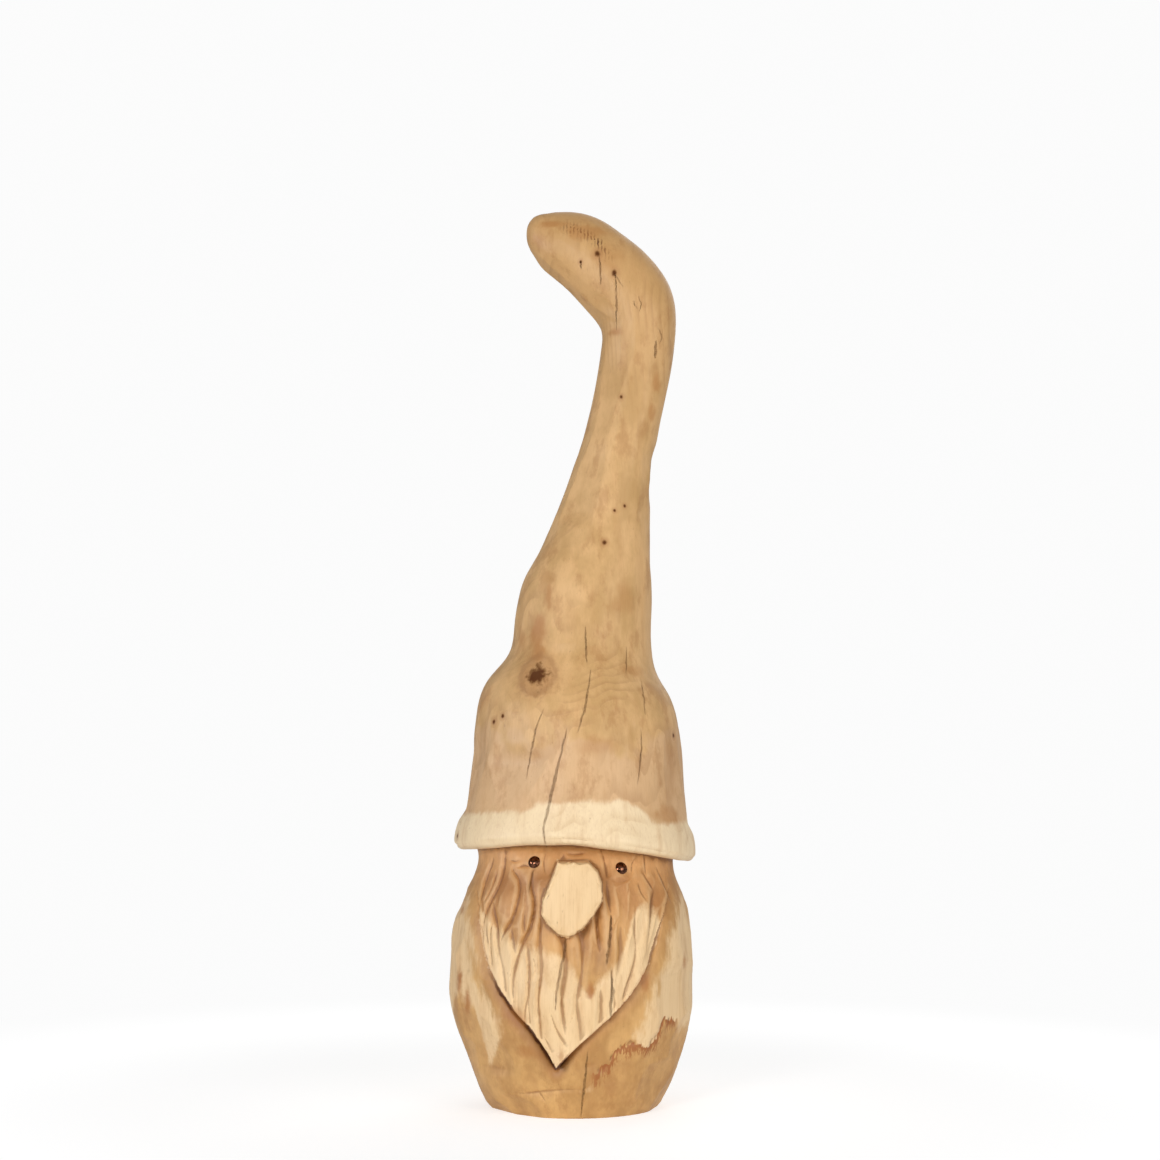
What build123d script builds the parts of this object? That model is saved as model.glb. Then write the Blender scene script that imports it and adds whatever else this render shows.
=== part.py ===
from build123d import *

import os
from math import cos, radians, sin

# Carved wooden tomte gnome: one log carving with two capped tacks driven in as eyes.
# Millimetres. The origin is the centre of the flat underside, +Z is up, the face looks along -Y and +X is
# to the right of someone who faces the figure. The log's pith runs close to the Z axis.

os.makedirs("parts", exist_ok=True)

# Driving dimensions of the carving. The brim's edge is highest in front and lower at its left and right.
log_radius = 109.0
brim_height = 235.0
brim_side_drop = (13.0, 26.0)
brim_side = 120.0
brim_lip = 8.0
tip_round = 8.0
nose_depth = 50.0
nose_spread = 1.5
beard_back = 60.0

# The dished hollow in the face is part of a ball: its radius, middle (across, up) and reach to the front.
scoop_radius = 150.0
scoop_middle = (3.0, 168.0)
scoop_front = 92.0

# Where the eyes sit on the face band: across and up
eye_places = {"left": (-34.2, 219.9), "right": (41.1, 214.7)}

# Eye tack: a pressed dome whose rim is turned in under the flat head of a steel tack
cap_radius = 5.5
cap_rise = 3.2
cap_wall = 0.4
cap_skirt = 0.6
rim_hole_radius = 3.4
head_radius = 4.3
head_thickness = 0.7
shank_radius = 1.0
shank_length = 14.0
point_length = 3.0
fit_gap = 0.03
seat_depth = 0.3
hole_spare = 0.3

# Body sections from the foot up: height, then the reach to the left, right, front and back.
# Above the beard the front leans back, which makes the face band under the brim.
body_rows = [
    (0, 73.5, 74.5, 73.5, 75),
    (20, 85.5, 86, 82, 87),
    (56, 99, 98.5, 91, 99),
    (93, 110.5, 105.5, 97.5, 108),
    (130, 111.5, 106, 99, 109),
    (160, 108, 104, 98.5, 106),
    (183, 100.5, 99, 96, 100),
    (205, 89, 90.5, 88, 90),
    (222, 85.5, 89, 80, 86),
    (240, 92, 95, 71, 90),
    (256, 94, 97, 70, 92),
]

# Hat bell sections, the same five values: a flared brim, an upright bell and a rounded shoulder.
bell_rows = [
    (205, 105, 109, 106, 106),
    (228, 106, 109.5, 107, 107),
    (245, 105.5, 106, 106, 106),
    (257, 101.5, 102.5, 102, 102),
    (275, 95.5, 99.5, 98, 98),
    (318, 90.5, 96.5, 95, 96),
    (345, 87.5, 92.5, 91, 92),
    (364, 84.5, 86, 85, 86),
    (382, 75, 75.5, 75, 77),
    (400, 60, 70.5, 66, 68),
]

# Hat cone sections: centre across, centre height, lean to the left, half width and half depth.
cone_rows = [
    (8, 432, 0, 61.4, 60),
    (10, 450, -2, 60, 57),
    (12.9, 468, -3, 57.2, 54),
    (18.5, 485, -6, 52, 50),
    (23.3, 505, -8, 46.6, 46),
    (30.3, 542, -11, 39.2, 41),
    (42.4, 596, -12, 32.7, 36),
    (53.7, 650, -8, 32.6, 34),
    (58.2, 682, 2, 32.7, 34),
    (58.3, 704, 14, 34.7, 35),
    (46, 730, 26, 38, 36),
    (19, 757.5, 39, 36, 33),
    (-5, 774.5, 49, 32.5, 29),
    (-26, 781.5, 66, 23, 21.5),
    (-44, 784, 90, 16, 15),
]

# Beard envelope sections: height, then the reach to the left, right and front.
beard_rows = [
    (20, 90, 89, 97),
    (56, 104, 101, 102.5),
    (93, 111, 106, 105.5),
    (118, 112, 107, 105.5),
    (145, 110, 106, 101),
    (165, 106, 103, 98.5),
    (183, 99, 98, 96),
    (205, 87, 88, 88.5),
    (222, 84, 87, 78),
]

# The nose's front outline, cut with straight chisel strokes: across and up.
nose_corners = [
    (-13, 220.5), (12, 220.5), (20, 213), (23.5, 203), (23.5, 188), (16, 176), (8, 166), (-5, 158.5),
    (-13, 160.5), (-22, 169.5), (-26.5, 177), (-25.5, 189), (-20.5, 202),
]

# The beard's outline from under the left of the brim down to its point, and up to the right of the brim.
beard_left = [(-88, 232), (-84, 185), (-79, 150), (-64, 111), (-39, 81), (-15, 46)]
beard_right = [(-15, 46), (14, 74), (46, 104), (64, 132), (77, 168), (90, 226)]


def round_section(plane, left, right, front, back):
    """A filled outline of four quarter ellipses that meet square to the plane's axes."""
    with BuildSketch(plane) as section:
        with BuildLine():
            EllipticalCenterArc((0, 0), right, back, start_angle=0, arc_size=90)
            EllipticalCenterArc((0, 0), left, back, start_angle=90, arc_size=90)
            EllipticalCenterArc((0, 0), left, front, start_angle=180, arc_size=90)
            EllipticalCenterArc((0, 0), right, front, start_angle=270, arc_size=90)
        make_face()
    return section.sketch


def leaning_plane(across, up, lean):
    """A section plane on the XZ plane whose normal leans this many degrees from +Z towards -X."""
    angle = radians(lean)
    return Plane(
        origin=(across, 0, up),
        x_dir=(cos(angle), 0, sin(angle)),
        z_dir=(-sin(angle), 0, cos(angle)),
    )


def upright_sections(rows):
    """Level sections around the Z axis, one for each row of height and reaches."""
    return [round_section(Plane.XY.offset(up), *reaches) for up, *reaches in rows]


cone_sections = [
    round_section(leaning_plane(across, up, lean), half_width, half_width, half_depth, half_depth)
    for across, up, lean, half_width, half_depth in cone_rows
]

with BuildPart() as body:
    loft(upright_sections(body_rows))

# The brim's lower edge follows an arch through the middle and both sides.
left_drop, right_drop = brim_side_drop
with BuildPart() as hat:
    loft(upright_sections(bell_rows) + cone_sections)
    with BuildSketch(Plane.XZ):
        with BuildLine():
            arch = ThreePointArc(
                (-brim_side, brim_height - left_drop), (0, brim_height), (brim_side, brim_height - right_drop)
            )
            Polyline(arch @ 1, (brim_side, 0), (-brim_side, 0), arch @ 0)
        make_face()
    extrude(amount=brim_side, both=True, mode=Mode.SUBTRACT)
    fillet(hat.faces().sort_by(Axis.Z)[0].edges(), brim_lip)
    fillet(hat.faces().filter_by(GeomType.PLANE).edges(), tip_round)

# The nose is cut back from the log's own outer surface, with sides that spread slightly towards the face.
front_plane = Plane(origin=(0, -log_radius, 0), x_dir=(1, 0, 0), z_dir=(0, -1, 0))
with BuildSketch(front_plane) as nose_front:
    Polygon(*nose_corners, align=None)
with BuildSketch(front_plane.offset(-nose_depth)) as nose_root:
    Polygon(*nose_corners, align=None)
    offset(amount=nose_spread, kind=Kind.INTERSECTION)
with BuildPart() as nose:
    loft([nose_front.sketch, nose_root.sketch], ruled=True)
    with Locations((0, 0, brim_height)):
        Cylinder(log_radius, brim_height, mode=Mode.INTERSECT)

# The beard is a pointed shield that stands proud of the belly inside a slightly fuller envelope.
with BuildPart() as beard:
    with BuildSketch(front_plane):
        with BuildLine():
            left_edge = Spline(*beard_left)
            right_edge = Spline(*beard_right)
            Line(right_edge @ 1, left_edge @ 0)
        make_face()
    extrude(amount=-log_radius)
    beard_sections = upright_sections([(*row, beard_back) for row in beard_rows])
    add(loft(beard_sections, mode=Mode.PRIVATE), mode=Mode.INTERSECT)


def face_seat(across, up):
    """The plane that touches the face band at this place, looking out along the surface's normal."""
    inward = Axis((across, -log_radius, up), (0, 1, 0))
    touched, outward = min(body.part.find_intersection_points(inward), key=lambda hit: hit[0].Y)
    return Plane(origin=touched, z_dir=outward)


eye_seats = {side: face_seat(*place) for side, place in eye_places.items()}

# A dished hollow in the beard and face leaves the nose standing clear.
scoop_across, scoop_up = scoop_middle
with BuildPart() as carved_figure:
    add(body.part)
    add(beard.part)
    with Locations((scoop_across, -scoop_front - scoop_radius, scoop_up)):
        Sphere(scoop_radius, mode=Mode.SUBTRACT)
    add(hat.part)
    add(nose.part)
    for seat in eye_seats.values():
        with Locations(seat):
            CounterBoreHole(
                radius=shank_radius + fit_gap,
                counter_bore_radius=cap_radius + hole_spare,
                counter_bore_depth=seat_depth,
                depth=seat_depth + shank_length + hole_spare,
            )
carved_figure.part.label = "carved_figure"
export_step(carved_figure.part, "parts/carved_figure.step")

for side, seat in eye_seats.items():
    floor = seat.offset(fit_gap - seat_depth)
    profile_plane = Plane(origin=floor.origin, x_dir=floor.x_dir, z_dir=-floor.y_dir)
    eye_axis = Axis(floor.origin, floor.z_dir)

    with BuildPart() as eye_cap:
        with BuildSketch(profile_plane):
            with BuildLine():
                outer_dome = TangentArc((0, cap_rise), (cap_radius, cap_skirt), tangent=(1, 0))
                inner_dome = TangentArc(
                    (0, cap_rise - cap_wall), (cap_radius - cap_wall, cap_skirt), tangent=(1, 0)
                )
                Polyline(
                    outer_dome @ 1,
                    (cap_radius, 0),
                    (rim_hole_radius, 0),
                    (rim_hole_radius, cap_wall),
                    (cap_radius - cap_wall, cap_wall),
                    inner_dome @ 1,
                )
                Line(inner_dome @ 0, outer_dome @ 0)
            make_face()
        revolve(axis=eye_axis)
    eye_cap.part.label = f"{side}_eye_cap"
    export_step(eye_cap.part, f"parts/{side}_eye_cap.step")

    with BuildPart() as eye_shank:
        head_under = cap_wall + fit_gap
        head_top = head_under + head_thickness
        with BuildSketch(profile_plane):
            with BuildLine():
                Polyline(
                    (0, head_top),
                    (head_radius, head_top),
                    (head_radius, head_under),
                    (shank_radius, head_under),
                    (shank_radius, point_length - shank_length),
                    (0, -shank_length),
                    close=True,
                )
            make_face()
        revolve(axis=eye_axis)
    eye_shank.part.label = f"{side}_eye_shank"
    export_step(eye_shank.part, f"parts/{side}_eye_shank.step")
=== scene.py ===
"""Looks of the one-log gnome: knife and gouge work, drying cracks, solid wood and tack eyes.

Shapes are worked out in millimetres in the frame's own axes, and written back in metres. The face looks
along -Y. "Across" is X, "up" is Z, and the places below are drawn on a figure 803 mm tall.
"""

import itertools
import math
from types import SimpleNamespace

import bpy
import numpy as np
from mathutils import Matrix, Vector, kdtree
from mathutils.bvhtree import BVHTree


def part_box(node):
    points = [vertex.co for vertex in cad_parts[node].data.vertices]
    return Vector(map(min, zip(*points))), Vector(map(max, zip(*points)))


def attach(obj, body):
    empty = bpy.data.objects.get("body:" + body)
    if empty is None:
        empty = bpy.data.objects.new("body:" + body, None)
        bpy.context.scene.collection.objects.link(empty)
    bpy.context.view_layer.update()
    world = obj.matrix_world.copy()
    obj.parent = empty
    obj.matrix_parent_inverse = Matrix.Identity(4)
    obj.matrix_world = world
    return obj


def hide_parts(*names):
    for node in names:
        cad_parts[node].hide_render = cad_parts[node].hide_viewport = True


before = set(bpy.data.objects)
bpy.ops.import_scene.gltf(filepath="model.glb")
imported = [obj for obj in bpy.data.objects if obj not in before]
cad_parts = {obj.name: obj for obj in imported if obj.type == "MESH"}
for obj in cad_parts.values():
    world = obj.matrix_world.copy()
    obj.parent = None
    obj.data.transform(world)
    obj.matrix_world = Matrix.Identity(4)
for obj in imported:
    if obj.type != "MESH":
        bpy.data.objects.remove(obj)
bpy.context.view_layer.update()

MM = 0.001
FIGURE = "carved_figure"

# How many millimetres one drawn millimetre is on the frame's figure
DRAWN_HEIGHT = 803.0
figure_low, figure_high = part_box(FIGURE)
UNIT = (figure_high.z - figure_low.z) / MM / DRAWN_HEIGHT

# The log's radius and the thickness of its pale sapwood
LOG_RADIUS = 109 * UNIT
SAPWOOD = 9.5 * UNIT

# How far out the rays start that look for the wood's surface
RAY_START = 400

# Spacing of the mesh that is carved, the size it is thinned to, and the angle that counts as an edge
VOXEL = 1.0
QUICK_VOXEL = 1.5
TRIANGLES = 190000
EDGE_ANGLE = 55

# Rounds of smoothing that wear the tip of a quick carving. A finer mesh needs more.
QUICK_WEAR = 70

# Wood: width of a year's ring, radius from which a knot has a ring round it, and spacing of the chatter
RING_WIDTH = 4.6
LARGE_KNOT = 5
CHATTER_STEP = 3.1

# The brim's lower edge, as height over the distance across: an arch with one side lower.
BRIM_MIDDLE = 235 * UNIT
BRIM_SLOPE = -0.054
BRIM_BEND = -0.00135 / UNIT

# Outline of the beard's face, down the left side to the point and up the right side
BEARD_OUTLINE = [
    (-88, 232), (-86, 205), (-84, 185), (-82, 168), (-79, 150), (-73, 129), (-64, 111), (-52, 95),
    (-39, 81), (-27, 65), (-15, 46), (14, 74), (30, 88), (46, 104), (56, 118), (64, 132), (71, 150),
    (77, 168), (84, 196), (90, 226),
]  # fmt: skip

# The nose's front outline
NOSE_OUTLINE = [
    (-13, 221), (12, 221), (20, 213), (23.5, 203), (23.5, 188), (16, 175), (8, 165), (-5, 157.5),
    (-13, 159.5), (-22, 169), (-26.5, 177), (-25.5, 189), (-20.5, 202),
]  # fmt: skip

# Knife cuts between the strands, narrow and V-shaped: the places passed as (across, up), then half width
# and depth.
KNIFE_CUTS = [
    ([(-60, 226), (-62, 214), (-66, 200), (-76, 182), (-81, 170), (-79, 148)], 4.6, 4.4),
    ([(-71, 220), (-77, 206), (-82, 192), (-84, 174)], 3.8, 3.2),
    ([(-67, 210), (-73, 194), (-81, 180)], 2.6, 1.8),
    ([(-53, 212), (-47, 203), (-49, 187), (-56, 167), (-65, 156), (-67, 136)], 4.6, 4.2),
    (
        [(-35, 213), (-38, 200), (-34, 186), (-37, 168), (-46, 150), (-52, 132), (-54, 114), (-52, 102)],
        4.8,
        4.6,
    ),
    ([(-43, 206), (-42, 194), (-44, 180)], 2.4, 1.6),
    ([(-65, 178), (-74, 163), (-74, 148), (-71, 128)], 3.4, 3.0),
    ([(-41, 145), (-33, 136), (-35, 116)], 3.2, 2.4),
    ([(-44, 128), (-38, 113), (-43, 96), (-42, 80)], 3.4, 2.8),
    ([(-24, 146), (-24, 134), (-27, 120)], 2.8, 1.8),
    ([(-34, 93), (-28, 77), (-18, 58)], 3.2, 2.4),
    ([(-21, 96), (-16, 80), (-7, 66)], 3.0, 2.2),
    ([(-13, 99), (-8, 90), (-4, 82)], 2.6, 2.0),
    ([(-4, 82), (0, 94), (1, 107)], 2.6, 2.0),
    ([(33, 186), (32, 160), (31, 134)], 3.4, 2.6),
    ([(33, 134), (33, 112), (31, 88)], 3.2, 2.4),
    ([(48, 199), (44, 180), (34, 165), (31, 150)], 3.6, 2.2),
    ([(58, 190), (60, 172), (52, 146)], 3.0, 1.6),
    ([(59, 211), (68, 198), (78, 182)], 3.0, 2.2),
    ([(72, 215), (79, 200), (86, 184)], 3.0, 1.8),
    ([(-50, 214), (-44, 217), (-37, 215)], 1.8, 1.6),
    ([(-6, 227), (1, 226), (9, 227.5)], 1.6, 1.4),
    ([(48, 205), (40, 202), (31, 205)], 2.0, 0.9),
    ([(-8.5, 228), (-10, 223), (-15, 217)], 1.8, 1.2),
    ([(22, 232), (25, 226), (27, 217), (29, 205)], 2.4, 1.3),
    ([(-24, 228), (-27, 220), (-25, 210)], 2.0, 1.1),
    ([(54, 224), (50, 218), (50, 210)], 1.8, 1.0),
    ([(-58, 222), (-52, 219), (-46, 222)], 1.8, 1.0),
    ([(61, 224), (62, 212), (65, 200)], 2.4, 1.4),
    ([(39, 197), (35, 184), (31, 170)], 2.8, 1.8),
    ([(55, 203), (58, 194), (64, 186)], 2.8, 1.8),
    ([(-32, 26), (-28, 20), (-24, 14)], 1.6, 1.0),
    ([(-58, 20), (-38, 22), (-18, 26), (10, 27)], 2.2, 1.0),
]

# Gouge strokes, wide and round, in the same form.
GOUGE_STROKES = [
    ([(-66, 206), (-68, 186), (-74, 166)], 5.5, 2.2),
    ([(-27, 200), (-29, 176), (-33, 156)], 5.5, 2.6),
    ([(39, 200), (46, 180), (40, 156)], 8.0, 2.8),
    ([(53, 200), (50, 174), (42, 150)], 7.0, 2.4),
    ([(60, 180), (56, 156), (46, 130)], 7.0, 2.4),
    ([(75, 184), (74, 160), (63, 132)], 6.0, 2.6),
    ([(47, 138), (44, 122), (38, 102)], 6.0, 2.0),
    ([(-2, 150), (2, 132), (8, 114)], 7.0, 1.8),
    ([(18, 160), (22, 142), (17, 116)], 7.0, 2.0),
    ([(-47, 150), (-44, 132), (-47, 112)], 6.0, 2.0),
]

# Long flat facets planed down the hat: the way each faces in degrees from the front, the height of its
# middle, its half length and its depth.
PLANED_FACETS = [
    (62, 545, 150, 3.0),
    (-38, 600, 90, 1.2),
    (10, 640, 80, 0.8),
    (-38, 322, 62, 2.4),
    (-66, 330, 60, 1.4),
    (-12, 325, 55, 1.2),
    (38, 320, 60, 1.4),
    (62, 310, 55, 1.6),
    (150, 560, 120, 2.0),
    (-140, 600, 100, 1.6),
    (-100, 540, 110, 1.6),
    (95, 620, 90, 1.2),
    (120, 320, 60, 1.8),
    (-120, 310, 60, 1.6),
    (175, 330, 60, 1.6),
]

# Random knife facets, many shallow ones on the hat and deeper ones round the body
HAT_FACETS = {"spots": 90, "lengths": (30, 70), "depths": (0.25, 0.6), "tilt": 0.01, "seed": 4}
BODY_FACETS = {"spots": 75, "lengths": (20, 44), "depths": (1.2, 2.8), "tilt": 0.06, "seed": 5}

# Drying cracks: the places each runs through as (across, up), then its width and depth at the middle.
FRONT_CRACKS = [
    ([(10, 424), (10.5, 409), (11, 392)], 1.5, 9),
    ([(15, 386), (12, 366), (9, 350), (3, 331)], 1.4, 9),
    ([(-6, 336), (-9, 322), (-16, 293), (-22, 266), (-26, 250), (-24.5, 240), (-23, 227)], 2.0, 14),
    ([(-26, 352), (-33, 335), (-39, 302), (-41, 291)], 1.4, 9),
    ([(59, 378), (61, 362), (62, 347)], 1.2, 8),
    ([(58, 335), (59, 320), (56, 293), (55, 286)], 1.3, 8),
    ([(46, 407), (46, 395), (45.5, 382)], 1.1, 7),
    ([(12, 60), (10, 38), (6, 2)], 1.7, 10),
    ([(-7, 157), (-8, 143), (-11, 131), (-14, 113), (-16, 96)], 2.2, 12),
    ([(32, 175), (31, 157), (28, 134)], 2.4, 12),
    ([(32, 129), (33, 113), (32, 102), (31, 86)], 2.2, 12),
    ([(-35, 213), (-37, 205), (-39, 194)], 1.2, 6),
    ([(37, 741), (38, 715), (38, 691)], 1.3, 9),
    ([(36, 741), (40, 734), (44, 728)], 0.8, 2),
    ([(22, 759), (23.5, 745), (24, 731)], 1.3, 6),
    ([(6, 753), (6.5, 746)], 1.4, 3),
    ([(75, 693), (79, 685), (76, 678)], 0.9, 3),
    ([(73.5, 681), (72, 665)], 2.4, 5),
    ([(57, 720), (60, 713), (58.5, 706)], 0.8, 2),
    ([(53, 716), (56, 709)], 0.8, 2),
]

BACK_CRACKS = [
    ([(-12, 395), (-8, 350), (-11, 300), (-7, 262)], 1.6, 12),
    ([(34, 330), (37, 290), (35, 266)], 1.1, 8),
    ([(20, 190), (16, 140), (19, 92)], 1.8, 12),
    ([(-38, 92), (-36, 50), (-33, 3)], 1.5, 10),
    ([(25, 560), (32, 500), (30, 462)], 1.1, 7),
]

# The blades that cut the cracks: the distance between sections, how far they stick out of the wood, and
# the least and most times that they open a crack's width
BLADE_STEP = 2.5
BLADE_OVERHANG = 3
BLADE_OPENING = (1.1, 1.7)

# Knots as (across, up) and the radius of the dark heart.
FRONT_KNOTS = [
    ((-32, 382), 9.5),
    ((27, 499), 2.0),
    ((42, 630), 1.6),
    ((45, 532), 1.3),
    ((36, 528), 1.2),
    ((-70, 341), 1.8),
    ((-62, 346), 1.7),
    ((88, 329), 2.0),
    ((-103, 240), 1.8),
    ((36, 741), 2.4),
    ((21, 759), 2.4),
    ((6, 752), 1.4),
]
BACK_KNOTS = [((30, 340), 6.0), ((-25, 150), 4.0), ((38, 610), 2.0), ((-50, 300), 1.8)]

# Brown stains seen from the front: (across, up), half width, half height and strength.
STAINS = [
    ((83, 260), 14, 8, 0.6),
    ((-30, 413), 8, 26, 1.0),
    ((-22, 452), 3, 12, 0.7),
    ((-45, 412), 4, 10, 0.5),
    ((37, 689), 9, 3.5, 0.9),
    ((74, 645), 4, 9, 0.7),
    ((70, 616), 3, 9, 0.7),
    ((-33, 774), 6, 8, 0.6),
    ((-20, 788), 16, 4, 0.8),
    ((10, 779), 20, 7, 0.6),
    ((30, 757), 14, 12, 0.4),
    ((20, 320), 20, 9, 0.4),
    ((44, 448), 12, 16, 0.4),
    ((-82, 362), 12, 12, 0.5),
    ((50, 386), 14, 6, 0.4),
    ((86, 300), 8, 34, 0.4),
    ((-100, 118), 2.8, 17, 1.0),
    ((-93, 96), 2.8, 13, 0.9),
    ((-99, 175), 3, 4, 0.7),
    ((-38, 58), 12, 7, 0.5),
    ((61, 118), 5, 9, 0.8),
    ((97, 130), 1.5, 7, 0.8),
    ((14.6, 112), 3, 8, 0.9),
    ((-11, 58), 3, 7, 0.6),
    ((-50, 88), 12, 10, 0.6),
    ((12, 49), 5, 4, 0.5),
]

# The broken fibres low on the right, as a line of (across, up)
TORN_LINE = [(14, 39), (30, 47), (36, 60), (50, 66), (64, 62), (72, 69), (78, 84), (90, 80)]

# The end grain that the knife chattered over, along the top of the hat's bend
CHATTER_LINE = [(-20, 786), (0, 782), (12, 777), (24, 767), (36, 752)]

# Where the pale sapwood stops on the carved front: up the strands, above the brim, and low on the left
STRAND_ARCH = [
    (-90, 176), (-80, 176), (-62, 160), (-45, 148), (-10, 138), (15, 112), (40, 138), (56, 182),
    (70, 178), (90, 150),
]  # fmt: skip
BRIM_TOP = [(-90, 261), (-50, 263), (-30, 271), (40, 274), (56, 266), (72, 254), (100, 252)]
LEFT_FOOT = [(-110, 104), (-86, 94), (-74, 40), (-64, 62), (-50, 96)]

# How far the sapwood stays away from the beard's edge on either side, as (up, distance)
LEFT_GAP = [(41, 24), (63, 21), (84, 18), (113, 14), (140, 11), (170, 10)]
RIGHT_GAP = [(50, 38), (64, 34), (100, 17), (140, 12), (180, 10)]


# Noise: the length of its table of random values, and primes that turn a cell's place into a table entry
NOISE_TABLE = 4096
NOISE_PRIMES = (73856093, 19349663, 83492791)


def noise(points, size, seed, octaves=1):
    """Smooth random values between -1 and 1 that change over this many millimetres."""
    table = np.random.default_rng(seed).uniform(-1, 1, NOISE_TABLE)
    total = np.zeros(len(points))
    for octave in range(octaves):
        place = points * (2**octave / np.asarray(size, dtype=float))
        cell = np.floor(place).astype(np.int64)
        part = place - cell
        part = part * part * (3 - 2 * part)
        for corner in itertools.product((0, 1), repeat=3):
            x, y, z = ((cell + corner) * NOISE_PRIMES).T
            share = np.prod(np.where(corner, part, 1 - part), axis=1)
            total += share * table[(x ^ y ^ z) % NOISE_TABLE] / 2**octave
    return total


def ramp(low, high, value):
    """Rises smoothly from 0 at low to 1 at high."""
    part = np.clip((value - low) / (high - low), 0, 1)
    return part * part * (3 - 2 * part)


def drawn_line(line, place):
    """The line's second value where its first is this place."""
    return np.interp(place, *zip(*line))


def brim_edge(across):
    """Height of the brim's lower edge."""
    return BRIM_MIDDLE + BRIM_SLOPE * across + BRIM_BEND * across**2


def unrolled(across):
    """Distance round the log's surface from the middle of the face."""
    return LOG_RADIUS * np.arcsin(np.clip(np.asarray(across) / LOG_RADIUS, -1, 1))


def outline_distance(points, outline):
    """Distance from each (across, up) point to a closed outline, negative inside it."""
    corners = np.array(outline) * UNIT
    nearest = np.full(len(points), np.inf)
    inside = np.zeros(len(points), dtype=bool)
    for start, end in zip(corners, np.roll(corners, -1, axis=0)):
        span = end - start
        along = np.clip((points - start) @ span / (span @ span), 0, 1)
        nearest = np.minimum(nearest, np.hypot(*(points - start - along[:, None] * span).T))
        crosses = (start[1] > points[:, 1]) != (end[1] > points[:, 1])
        across = start[0] + (points[:, 1] - start[1]) * span[0] / (span[1] or 1e-9)
        inside ^= crosses & (points[:, 0] < across)
    return np.where(inside, -nearest, nearest)


class Clay:
    """Vertices and edges of a mesh as arrays in millimetres, for carving in code."""

    def __init__(self, mesh):
        self.mesh = mesh
        count = len(mesh.vertices)
        self.points = np.empty(count * 3, dtype=np.float32)
        mesh.vertices.foreach_get("co", self.points)
        self.points = self.points.reshape(-1, 3).astype(float) / MM
        edges = np.empty(len(mesh.edges) * 2, dtype=np.int32)
        mesh.edges.foreach_get("vertices", edges)
        self.first, self.second = edges.reshape(-1, 2).T
        self.degree = np.maximum(
            np.bincount(self.first, minlength=count) + np.bincount(self.second, minlength=count), 1
        )

    def relaxed(self, values, rounds):
        """The values after each vertex has taken its neighbours' mean this many times."""
        count = len(values)
        columns = values.reshape(count, -1).T
        for _ in range(rounds):
            columns = [
                (
                    np.bincount(self.first, column[self.second], count)
                    + np.bincount(self.second, column[self.first], count)
                )
                / self.degree
                for column in columns
            ]
        return np.array(columns).T.reshape(values.shape)

    def write(self):
        """Moves the mesh's vertices to the carved points."""
        self.mesh.vertices.foreach_set("co", (self.points * MM).astype(np.float32).ravel())
        self.mesh.update()

    def normals(self):
        """The carved surface's outward direction at each vertex."""
        self.write()
        found = np.empty(len(self.points) * 3, dtype=np.float32)
        self.mesh.vertex_normals.foreach_get("vector", found)
        return found.reshape(-1, 3).astype(float)


def with_modifier(mesh, kind, **settings):
    """A new mesh: the given one after a single modifier."""
    holder = bpy.data.objects.new("holder", mesh)
    bpy.context.scene.collection.objects.link(holder)
    modifier = holder.modifiers.new("step", kind)
    for name, value in settings.items():
        setattr(modifier, name, value)
    bpy.context.view_layer.update()
    shaped = bpy.data.meshes.new_from_object(holder.evaluated_get(bpy.context.evaluated_depsgraph_get()))
    bpy.data.objects.remove(holder)
    return shaped


def cut_facet(clay, middle, normal, length, depth, keep, level=False):
    """Planes the wood flat round one place, deepest at the middle of the stroke and fading to its ends.

    Where the plane would gouge far into wood that bulges, nothing is cut.
    """
    offset = clay.points - middle
    near = np.flatnonzero((np.abs(offset[:, 2]) < length) & (offset @ normal > -6 * UNIT))
    offset = offset[near]
    part = np.abs(offset[:, 2]) / length
    fade = ramp(1, 0.55, part) * keep[near]
    excess = np.maximum(offset @ normal + depth * (1 - part**2), 0) * fade
    if excess.max(initial=0) > 2 * depth + 2.5 * UNIT:
        return
    push = normal.copy()
    if level:
        push[2] = 0
        push /= push @ normal
    clay.points[near] -= excess[:, None] * push


def smooth_normals(clay):
    """Outward directions that pass over small bumps."""
    normals = clay.relaxed(clay.normals(), 8)
    return normals / np.linalg.norm(normals, axis=1)[:, None]


def cut_facets(clay, keep, spots, lengths, depths, tilt, seed, level=False):
    """Many facets in random places where keep is above a half, each turned a little off the surface."""
    draw = np.random.default_rng(seed)
    normals = smooth_normals(clay)
    candidates = np.flatnonzero((keep > 0.5) & (np.abs(normals[:, 2]) < 0.8))
    for _ in range(spots):
        middle = draw.choice(candidates)
        length = draw.uniform(*lengths) * UNIT
        depth = draw.uniform(*depths) * UNIT
        normal = normals[middle] + draw.normal(0, tilt, 3)
        cut_facet(clay, clay.points[middle], normal / np.linalg.norm(normal), length, depth, keep, level)


def plane_hat(clay):
    """The long facets down the hat, each square to the surface it finds."""
    normals = smooth_normals(clay)
    everywhere = np.ones(len(clay.points))
    for facing, up, length, depth in PLANED_FACETS:
        turn = math.radians(facing)
        level = np.flatnonzero(np.abs(clay.points[:, 2] - up * UNIT) < 2 * UNIT)
        outward = normals[level, 0] * math.sin(turn) - normals[level, 1] * math.cos(turn)
        middle = level[np.argmax(outward)]
        cut_facet(clay, clay.points[middle], normals[middle], length * UNIT, depth * UNIT, everywhere)


def smoothed(path):
    """A broken line with its corners rounded off by cutting them three times."""
    for _ in range(3):
        ahead, behind = path[1:], path[:-1]
        cut = np.stack([0.75 * behind + 0.25 * ahead, 0.25 * behind + 0.75 * ahead], axis=1)
        path = np.vstack([path[:1], cut.reshape(-1, 2), path[-1:]])
    return path


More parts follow.
